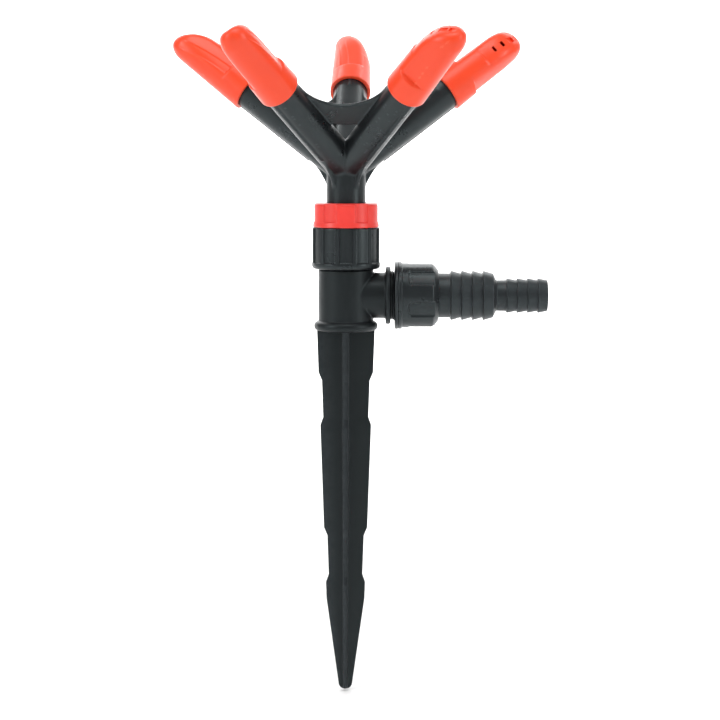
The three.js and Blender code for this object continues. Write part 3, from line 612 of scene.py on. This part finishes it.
def thread_wave(height, angle, pitch, depth):
    """Height of a thread's flank about its pitch line, from -depth to depth."""
    part = (height / pitch - angle / TAU) % 1
    return depth * np.clip(THREAD_STEEPNESS * (np.abs(2 * part - 1) - 0.5), -1, 1)


def make_tee(material):
    low = (-TEE_REACH, -TEE_REACH, 0)
    high = (branch_end, TEE_REACH, cad_high("spike_tee").z)
    tee = surface_of("tee_body", tee_field, low, high, TEE_VOXEL, 50)
    dress(tee, "tee", "spike_tee", material)
    start = BRANCH_FLANGE_X + BRANCH_FLANGE_THICKNESS + THREAD_GAP
    core = BRANCH_RADIUS + THREAD_RAISE
    corners = [
        (core, start, 0), (THREAD_RADIUS, start, 0),
        (THREAD_RADIUS, branch_end, 0.3), (core, branch_end, 0),
    ]

    def wave(radius, height, angle):
        started = smoothstep(height, start, start + THREAD_LEAD)
        ended = smoothstep(height, *(branch_end - before for before in THREAD_FADE))
        turns = thread_wave(height, angle, PIPE_PITCH, THREAD_HEIGHT)
        return np.where(radius > THREAD_RADIUS - ON_SURFACE, radius + started * (1 - ended) * turns, radius)

    outline = finer(rounded(corners), PIPE_PITCH / THREAD_STEPS)
    thread = turned_ring("branch_thread", outline, THREAD_SIDES, wave, branch_place, smooth_angle=30)
    dress(thread, "tee", "spike_tee", material)


# ---------- ground spike: four crossed blades ----------
BLADE_TOP = 12.0
BLADE_TAPER = 0.0355
BLADE_SHOULDER = 113.0
NOTCH_DEPTH = 1.3
NOTCHES = [(17.4, 39.6), (82.8, 106.2)]
NOTCH_LEAD_IN = 3.4
NOTCH_LEAD_OUT = 3.4
TIP_HALF = 2.9
BLADE_THICKNESS = 2.7
BLADE_TIP_THICKNESS = 1.8
BLADE_OVERLAP = 2.0              # how far the blades run up into the bead ring
BLADE_ROOT_FILLET = 0.7
BLADE_EDGE_FILLET = 0.35
BLADE_ROW_GAP = 1.5
NOTCH_ROW_GAP = 0.25             # rows either side of a notch's corner
SHOULDER_ROW_GAP = 0.3
BLADE_WEB_SHARE = 0.6            # the blades stay at least this much wider than their middle
SPIKE_TIP_ROWS = 8
TIP_BLUNTNESS = 0.02


def blade_half(depth):
    """Half the spike's width at a depth below the bead ring."""
    width = BLADE_TOP - BLADE_TAPER * depth
    for start, end in NOTCHES:
        lead_in = np.clip((depth - start) / NOTCH_LEAD_IN, 0, 1)
        lead_out = np.clip((end - depth) / NOTCH_LEAD_OUT, 0, 1)
        width -= NOTCH_DEPTH * min(lead_in, lead_out)
    if depth > BLADE_SHOULDER:
        part = (depth - BLADE_SHOULDER) / (-spike_tip - TIP_HALF - BLADE_SHOULDER)
        start = BLADE_TOP - BLADE_TAPER * BLADE_SHOULDER
        width = start + (TIP_HALF - start) * min(part, 1)
    past = (depth + spike_tip + TIP_HALF) / TIP_HALF
    return width * math.sqrt(max(1 - past * past, TIP_BLUNTNESS)) if past > 0 else width


def make_spike(material):
    depths = set(np.arange(-BLADE_OVERLAP, -spike_tip, BLADE_ROW_GAP).tolist())
    for start, end in NOTCHES:
        for corner in (start, start + NOTCH_LEAD_IN, end - NOTCH_LEAD_OUT, end):
            depths |= {corner - NOTCH_ROW_GAP, corner, corner + NOTCH_ROW_GAP}
    depths |= {BLADE_SHOULDER - SHOULDER_ROW_GAP, BLADE_SHOULDER, BLADE_SHOULDER + SHOULDER_ROW_GAP}
    for k in range(SPIKE_TIP_ROWS + 1):
        depths.add(-spike_tip - TIP_HALF * (1 - math.sin(k / SPIKE_TIP_ROWS * math.pi / 2)))
    points = []
    for depth in sorted(depths):
        half = blade_half(depth)
        thick = BLADE_THICKNESS + (BLADE_TIP_THICKNESS - BLADE_THICKNESS) * max(depth, 0) / -spike_tip
        inner = min(thick / 2, half * BLADE_WEB_SHARE)
        corners = []
        for turn in range(4):
            spin = Matrix.Rotation(turn * math.pi / 2, 2)
            outline = ((inner, -inner, BLADE_ROOT_FILLET), (half, -inner, BLADE_EDGE_FILLET),
                       (half, inner, BLADE_EDGE_FILLET))
            for x, y, fillet in outline:
                place = spin @ Vector((x, y))
                corners.append((place.x, place.y, fillet))
        points.append([(x, y, -depth) for x, y in rounded(corners, 3)])
    sides = len(points[0])
    flat = [point for row in points for point in row]
    faces = grid_faces(len(points), sides, False)
    faces += [tuple(range(sides))[::-1], tuple(range(len(flat) - sides, len(flat)))]
    spike = make_object("ground_spike", flat, faces, smooth_angle=30)
    dress(spike, "tee", "spike_tee", material)


# ---------- swivel base ----------
BASE_RADIUS = 14.25
BASE_TOP = 42.7
BASE_ROUND = 1.6
BASE_SOCKET = 10.55
BASE_SOCKET_TOP = 36.0
BASE_CUP = 8.45
BASE_CUP_FLOOR = 38.6
WATER_HOLE = 4.5
NECK_RADIUS = 11.9
CAP_PITCH = 2.0
RIBS = 12
RIB_WIDTH = 1.4
RIB_PLACE = -14.5
GROOVE_FOOT = 2.4
GROOVE_CUT = 0.7
RIB_FLANK = 0.45
GROOVE_FOOT_FADE = 0.6
GROOVE_TOP_FADE = (0.2, 0.3)     # above the shoulder
OUTER_BAND = (1.2, 0.5)          # how far inside the outer radius the grooves begin to act, and act fully
NECK_THREAD_START = (0.2, 1.2)   # above the cap's lower edge
NECK_THREAD_END = (1.4, 0.4)     # below the neck's top


def base_shape(radius, height, angle):
    pitch = TAU / RIBS
    from_rib = np.abs((angle - math.radians(RIB_PLACE) + pitch / 2) % pitch - pitch / 2) * BASE_RADIUS
    cut = smoothstep(from_rib, RIB_WIDTH / 2, RIB_WIDTH / 2 + RIB_FLANK)
    foot = base_bottom + GROOVE_FOOT
    above_top = smoothstep(height, *(BASE_TOP + fade for fade in GROOVE_TOP_FADE))
    cut = cut * smoothstep(height, foot, foot + GROOVE_FOOT_FADE) * (1 - above_top)
    outer = smoothstep(radius, *(BASE_RADIUS - inside for inside in OUTER_BAND))
    started = smoothstep(height, *(cap_bottom + above for above in NECK_THREAD_START))
    ended = smoothstep(height, *(neck_top - below for below in NECK_THREAD_END))
    on_neck = (np.abs(radius - NECK_RADIUS) < ON_SURFACE) * (started * (1 - ended))
    return radius - GROOVE_CUT * cut * outer + on_neck * thread_wave(height, angle, CAP_PITCH, THREAD_HEIGHT)


def make_base(material):
    outline = rounded([
        (BASE_SOCKET, base_bottom, SOFT), (BASE_RADIUS, base_bottom, BASE_ROUND),
        (BASE_RADIUS, BASE_TOP, EASED),
        (NECK_RADIUS, BASE_TOP, 0), (NECK_RADIUS, neck_top, SOFT), (BASE_CUP, neck_top, FINE),
        (BASE_CUP, BASE_CUP_FLOOR, SOFT), (WATER_HOLE, BASE_CUP_FLOOR, FINE),
        (WATER_HOLE, BASE_SOCKET_TOP, FINE),
        (BASE_SOCKET, BASE_SOCKET_TOP, SOFT),
    ])
    base = turned_ring("swivel_base_shell", finer(outline, OUTLINE_STEP), RING_SIDES, base_shape)
    dress(base, "tee", "swivel_base", material)


# ---------- retaining cap ----------
CAP_RADIUS = 13.5
CAP_FLARE = 0.25
CAP_FLARE_HEIGHT = 2.0
CAP_BORE = 12.25
CAP_HOLE = 8.6
CAP_LIP = 1.5
CAP_TOP_ROUND = 1.3
CAP_GRIPS = 6
CAP_GRIP_PLACE = -60
CAP_GRIP_CUT = 0.6
CAP_GRIP_WIDTH = 6.2
CAP_GRIP_MARGIN = 1.9
CAP_GRIP_CORNER = 0.8
CAP_GRIP_WALL = 0.45


def panel_depth(radius, height, angle, spot):
    """How far flat-floored recesses pull the surface in, as spot sets out their number, place and size."""
    pitch = TAU / spot["count"]
    turn = (angle - spot["place"] + pitch / 2) % pitch - pitch / 2
    across = np.abs(spot["floor"] * np.tan(turn))
    corner = spot["corner"]
    dx = across - spot["width"] / 2 + corner
    dz = spot["foot"] + corner - height
    beyond = np.sqrt(np.maximum(dx, 0) ** 2 + np.maximum(dz, 0) ** 2)
    outside = beyond + np.minimum(np.maximum(dx, dz), 0) - corner
    inside = 1 - smoothstep(outside, -spot["wall"], 0)
    return inside * np.maximum(radius - spot["floor"], 0)


def make_cap(material):
    grips = {"count": CAP_GRIPS, "place": math.radians(CAP_GRIP_PLACE), "floor": CAP_RADIUS - CAP_GRIP_CUT,
             "width": CAP_GRIP_WIDTH, "foot": cap_bottom + CAP_GRIP_MARGIN, "corner": CAP_GRIP_CORNER,
             "wall": CAP_GRIP_WALL}

    def shape(radius, height, angle):
        return np.where(radius > CAP_BORE + 0.2, radius - panel_depth(radius, height, angle, grips), radius)

    outline = rounded([
        (CAP_BORE, cap_bottom, FINE), (CAP_RADIUS + CAP_FLARE, cap_bottom, EASED),
        (CAP_RADIUS, cap_bottom + CAP_FLARE_HEIGHT, 1.0),
        (CAP_RADIUS, cap_top, CAP_TOP_ROUND), (CAP_HOLE, cap_top, 0.4), (CAP_HOLE, cap_top - CAP_LIP, FINE),
        (CAP_BORE, cap_top - CAP_LIP, SOFT),
    ], 6)
    outline = finer(outline, OUTLINE_STEP)
    cap = turned_ring("retaining_cap_shell", outline, RING_SIDES, shape, smooth_angle=50)
    dress(cap, "cap", "retaining_cap", material)


# ---------- coupling nut, turned about +Z and laid along the branch ----------
NUT_RADIUS = 13.4
NUT_FLANGE_RADIUS = 14.05
NUT_FLANGE_THICKNESS = 3.0
NUT_BEAD = 0.75                  # radius of each of the two beads round the flange
NUT_BORE = 10.35
NUT_CHAMBER = 10.75
NUT_LIP_HOLE = 9.6
NUT_LIP = 3.2
NUT_CHAMFER_LENGTH = 2.3
NUT_CHAMFER_DEPTH = 2.8
NUT_PANELS = 6
NUT_PANEL_WIDTH = 6.9
NUT_PANEL_CUT = 0.9
NUT_PANEL_PLACE = -7
NUT_PANEL_MARGIN = 2.6
NUT_PANEL_CORNER = 1.6
NUT_PANEL_WALL = 0.35


def make_nut(material):
    flange_end = nut_start + NUT_FLANGE_THICKNESS
    panels = {"count": NUT_PANELS, "place": math.radians(NUT_PANEL_PLACE),
              "floor": NUT_RADIUS - NUT_PANEL_CUT, "width": NUT_PANEL_WIDTH,
              "foot": flange_end + NUT_PANEL_MARGIN, "corner": NUT_PANEL_CORNER, "wall": NUT_PANEL_WALL}

    def shape(radius, height, angle):
        panelled = radius - panel_depth(radius, height, angle, panels)
        return np.where(radius > NUT_CHAMBER + 0.3, panelled, radius)

    groove = NUT_FLANGE_RADIUS - NUT_BEAD
    outline = rounded([
        (NUT_BORE, nut_start, SOFT), (NUT_FLANGE_RADIUS, nut_start, NUT_BEAD),
        (NUT_FLANGE_RADIUS, nut_start + 2 * NUT_BEAD, NUT_BEAD * 0.9), (groove, nut_start + 2 * NUT_BEAD, 0),
        (NUT_FLANGE_RADIUS - 0.1, nut_start + 2 * NUT_BEAD + 0.05, NUT_BEAD * 0.9),
        (NUT_FLANGE_RADIUS - 0.1, flange_end, NUT_BEAD * 0.8), (NUT_RADIUS, flange_end, SOFT),
        (NUT_RADIUS, nut_end - NUT_CHAMFER_LENGTH, 1.0), (NUT_RADIUS - NUT_CHAMFER_DEPTH, nut_end, 0.6),
        (NUT_LIP_HOLE, nut_end, SOFT), (NUT_LIP_HOLE, nut_end - NUT_LIP, CRISP),
        (NUT_CHAMBER, nut_end - NUT_LIP, FINE),
        (NUT_CHAMBER, branch_end - 1, CRISP), (NUT_BORE, branch_end - 1, CRISP),
    ])
    outline = finer(outline, OUTLINE_STEP)
    nut = turned_ring("coupling_nut_shell", outline, RING_SIDES, shape, branch_place, smooth_angle=50)
    dress(nut, "nut", "coupling_nut", material)


# ---------- hose tail ----------
TAIL_BORE = 4.9
COLLAR_RADIUS = 10.4
COLLAR_THICKNESS = 2.6
TAIL_NECK = 9.3
LARGE_PEAK = 10.35
LARGE_ROOT = 9.2
LARGE_PITCH = 4.45
STEP_RADIUS = 6.4
STEP_TAPER = 1.4
STEP_LENGTH = 5.4
SMALL_PEAK = 7.25
SMALL_ROOT = 6.45
SMALL_PITCH = 4.3
BARB_COUNT = 4
BARB_FACE = 0.35


def barb_corners(start, pitch, peak, root):
    corners = []
    for i in range(BARB_COUNT):
        corners += [(root, start + i * pitch, CRISP), (peak, start + i * pitch + BARB_FACE, 0.22)]
    return corners + [(root, start + BARB_COUNT * pitch, SOFT)]


def make_tail(material):
    small_start = tail_end - BARB_COUNT * SMALL_PITCH
    large_end = small_start - STEP_LENGTH
    large_start = large_end - BARB_COUNT * LARGE_PITCH
    outline = rounded([
        (TAIL_BORE, tail_start, FINE), (COLLAR_RADIUS, tail_start, SOFT),
        (COLLAR_RADIUS, tail_start + COLLAR_THICKNESS, SOFT),
        (TAIL_NECK, tail_start + COLLAR_THICKNESS, FINE),
        *barb_corners(large_start, LARGE_PITCH, LARGE_PEAK, LARGE_ROOT),
        (STEP_RADIUS, large_end + STEP_TAPER, 0.6),
        *barb_corners(small_start, SMALL_PITCH, SMALL_PEAK, SMALL_ROOT),
        (TAIL_BORE, tail_end, 0.5),
    ])
    outline = finer(outline, TAIL_STEP)
    tail = turned_ring("hose_tail_shell", outline, TAIL_SIDES, None, branch_place, smooth_angle=40)
    dress(tail, "tail", "hose_tail", material)


# ---------- materials ----------
def shader(name):
    """A new node material, its Principled shader and a helper that adds nodes."""
    material = bpy.data.materials.new(name)
    material.use_nodes = True
    tree = material.node_tree
    surface = tree.nodes["Principled BSDF"]

    def add(kind, links=None, **settings):
        node = tree.nodes.new(kind)
        for key, value in settings.items():
            if hasattr(node, key):
                setattr(node, key, value)
            else:
                node.inputs[key.replace("_", " ")].default_value = value
        for socket, source in (links or {}).items():
            tree.links.new(source, node.inputs[socket])
        return node

    return material, surface, add, tree.links


def moulded_plastic(name, colour, shade, worn, roughness, grain, sheen_spread, specular):
    """Moulded plastic: cloudy colour, rubbed edges, fine grain, faint scuffs and an uneven gloss."""
    material, surface, add, links = shader(name)
    place = add("ShaderNodeTexCoord").outputs["Object"]
    cloud = add("ShaderNodeTexNoise", {"Vector": place}, Scale=95.0, Detail=4.0, Roughness=0.55)
    clouded = add("ShaderNodeMix", {"Factor": cloud.outputs["Fac"]}, data_type="RGBA")
    clouded.inputs["A"].default_value = colour
    clouded.inputs["B"].default_value = shade
    edge = add("ShaderNodeNewGeometry").outputs["Pointiness"]
    rubbed = add("ShaderNodeMapRange", {"Value": edge}, From_Min=0.515, From_Max=0.60, To_Max=0.55)
    breakup = add("ShaderNodeTexNoise", {"Vector": place}, Scale=420.0, Detail=3.0, Roughness=0.6)
    wear = add("ShaderNodeMath", {0: rubbed.outputs["Result"], 1: breakup.outputs["Fac"]},
               operation="MULTIPLY")
    painted = add("ShaderNodeMix", {"Factor": wear.outputs[0], "A": clouded.outputs["Result"]},
                  data_type="RGBA")
    painted.inputs["B"].default_value = worn
    links.new(painted.outputs["Result"], surface.inputs["Base Color"])
    gloss = add("ShaderNodeMapRange", {"Value": cloud.outputs["Fac"]}, From_Min=0.3, From_Max=0.7,
                To_Min=roughness - sheen_spread, To_Max=roughness + sheen_spread)
    links.new(gloss.outputs["Result"], surface.inputs["Roughness"])
    fine = add("ShaderNodeTexNoise", {"Vector": place}, Scale=2600.0, Detail=2.0, Roughness=0.6)
    bump = add("ShaderNodeBump", {"Height": fine.outputs["Fac"]}, Strength=grain, Distance=0.00006)
    stretch = add("ShaderNodeMapping", {"Vector": place}, Scale=(2200.0, 2200.0, 160.0))
    scuff = add("ShaderNodeTexNoise", {"Vector": stretch.outputs["Vector"]}, Scale=1.0, Detail=2.0)
    scuffed = add("ShaderNodeBump", {"Height": scuff.outputs["Fac"], "Normal": bump.outputs["Normal"]},
                  Strength=grain * 0.35, Distance=0.00005)
    links.new(scuffed.outputs["Normal"], surface.inputs["Normal"])
    surface.inputs["Specular IOR Level"].default_value = specular
    return material


def grey(value, blue=1.25):
    """A near-black tint; blue is how much stronger its blue is than its red."""
    return (value, value * (1 + (blue - 1) / 2), value * blue, 1)


glossy_black = moulded_plastic(
    "glossy_black_plastic", colour=grey(0.010), shade=grey(0.015), worn=grey(0.06),
    roughness=0.30, grain=0.25, sheen_spread=0.05, specular=0.45)
matt_black = moulded_plastic(
    "matt_black_plastic", colour=grey(0.007), shade=grey(0.011), worn=grey(0.05),
    roughness=0.40, grain=0.5, sheen_spread=0.06, specular=0.3)
hose_black = moulded_plastic(
    "hose_tail_plastic", colour=grey(0.015), shade=grey(0.023), worn=grey(0.08),
    roughness=0.40, grain=0.45, sheen_spread=0.06, specular=0.4)
nozzle_orange = moulded_plastic(
    "nozzle_orange_plastic", colour=(0.94, 0.076, 0.022, 1), shade=(0.89, 0.062, 0.018, 1),
    worn=(1.0, 0.2, 0.10, 1), roughness=0.32, grain=0.15, sheen_spread=0.04, specular=0.4)
cap_red = moulded_plastic(
    "cap_red_plastic", colour=(0.93, 0.058, 0.044, 1), shade=(0.86, 0.048, 0.038, 1),
    worn=(1.0, 0.2, 0.16, 1), roughness=0.31, grain=0.2, sheen_spread=0.04, specular=0.45)
seal_rubber = moulded_plastic(
    "seal_rubber", colour=grey(0.012, 1.0), shade=grey(0.018, 1.0), worn=grey(0.04, 1.0),
    roughness=0.7, grain=0.7, sheen_spread=0.08, specular=0.3)
washer_acetal = moulded_plastic(
    "washer_acetal", colour=(0.80, 0.78, 0.70, 1), shade=(0.72, 0.70, 0.62, 1),
    worn=(0.86, 0.85, 0.8, 1), roughness=0.4, grain=0.3, sheen_spread=0.05, specular=0.5)
for plastic, glow in ((nozzle_orange, 0.08), (cap_red, 0.05)):
    plastic.node_tree.nodes["Principled BSDF"].inputs["Subsurface Weight"].default_value = glow
    plastic.node_tree.nodes["Principled BSDF"].inputs["Subsurface Scale"].default_value = 0.002

COOL_SHEEN = (0.82, 0.98, 1.0, 1)
for plastic in (glossy_black, matt_black, hose_black):
    plastic.node_tree.nodes["Principled BSDF"].inputs["Specular Tint"].default_value = COOL_SHEEN

make_rotor(glossy_black)
make_nozzles(nozzle_orange)
make_tee(matt_black)
make_spike(matt_black)
make_base(glossy_black)
make_cap(cap_red)
make_nut(glossy_black)
make_tail(hose_black)

INNER_PIECES = {"base_gasket": seal_rubber, "rotor_seal": seal_rubber, "tail_washer": seal_rubber,
                "thrust_washer": washer_acetal}
INNER_PIECES.update({f"nozzle_o_ring_{i + 1}": seal_rubber for i in range(ARM_COUNT)})
for node, material in INNER_PIECES.items():
    for slot in frame["nodes"][node].material_slots:
        slot.material = material

# ---------- floor, light and camera ----------
FLOOR_DROP = 0.0006              # below the spike's tip, in metres like all that follows
FLOOR_REACH = 2.2
FLOOR_BEHIND = 1.5               # how much further it reaches behind the camera
BEND_RADIUS = 0.9
BEND_STEPS = 17
WALL_HEIGHT = 3.0
FLOOR_HALF_WIDTH = 4.5
floor_height = spike_tip * MM - FLOOR_DROP


def make_backdrop():
    """A pale floor that curves up into a wall far behind."""
    bend_start = FLOOR_REACH - BEND_RADIUS
    line = [(-FLOOR_REACH - FLOOR_BEHIND, 0.0), (bend_start, 0.0)]
    for a in np.linspace(0, math.pi / 2, BEND_STEPS)[1:]:
        line.append((bend_start + BEND_RADIUS * math.sin(a), BEND_RADIUS - BEND_RADIUS * math.cos(a)))
    line.append((FLOOR_REACH, WALL_HEIGHT))
    points = [(x, y, floor_height + z) for y, z in line for x in (-FLOOR_HALF_WIDTH, FLOOR_HALF_WIDTH)]
    faces = [(2 * i, 2 * i + 1, 2 * i + 3, 2 * i + 2) for i in range(len(line) - 1)]
    mesh = bpy.data.meshes.new("backdrop")
    mesh.from_pydata(points, [], faces)
    mesh.shade_smooth()
    backdrop = bpy.data.objects.new("backdrop", mesh)
    bpy.context.scene.collection.objects.link(backdrop)
    material, surface, add, links = shader("backdrop_paper")
    surface.inputs["Base Color"].default_value = (0.93, 0.93, 0.93, 1)
    surface.inputs["Roughness"].default_value = 0.9
    surface.inputs["Specular IOR Level"].default_value = 0.1
    mesh.materials.append(material)


WORLD_STRENGTH = 0.32


def softbox(name, place, aim, size, power):
    light = bpy.data.lights.new(name, "AREA")
    light.shape = "RECTANGLE"
    light.size, light.size_y = size
    light.energy = power
    lamp = bpy.data.objects.new(name, light)
    lamp.location = place
    lamp.rotation_mode = "QUATERNION"
    lamp.rotation_quaternion = (Vector(aim) - Vector(place)).to_track_quat("-Z", "Y")
    bpy.context.scene.collection.objects.link(lamp)


make_backdrop()
softbox("key", place=(-1.5, -0.9, 0.8), aim=(0, 0, 0), size=(0.5, 1.3), power=14)
softbox("fill", place=(1.5, -0.8, 0.6), aim=(0, 0, 0), size=(0.35, 1.3), power=10)
softbox("top", place=(0.0, -0.5, 1.6), aim=(0, 0, 0), size=(1.2, 0.9), power=13)
softbox("back", place=(0.0, 1.3, 1.5), aim=(0, FLOOR_REACH, 0.3), size=(3.0, 1.0), power=70)
world = bpy.data.worlds.new("studio")
world.use_nodes = True
world.node_tree.nodes["Background"].inputs["Color"].default_value = (1, 1, 1, 1)
world.node_tree.nodes["Background"].inputs["Strength"].default_value = WORLD_STRENGTH
bpy.context.scene.world = world
bpy.context.scene.view_settings.view_transform = "Standard"

CAMERA_PLACE = (0.0056, -0.915, 0.08315)
CAMERA_PITCH = 5.958
CAMERA_YAW = -0.018
CAMERA_ROLL = 0.129
CAMERA_LENS = 110.5
SENSOR_WIDTH = 36
CLIP_END = 20
camera = bpy.data.objects.new("camera", bpy.data.cameras.new("camera"))
bpy.context.scene.collection.objects.link(camera)
camera.location = CAMERA_PLACE
turn = Matrix.Rotation(math.radians(CAMERA_YAW), 3, "Z")
turn = turn @ Matrix.Rotation(math.radians(90 - CAMERA_PITCH), 3, "X")
turn = turn @ Matrix.Rotation(math.radians(CAMERA_ROLL), 3, "Z")
camera.rotation_euler = turn.to_euler()
camera.data.lens = CAMERA_LENS
camera.data.sensor_width = SENSOR_WIDTH
camera.data.clip_end = CLIP_END
bpy.context.scene.camera = camera
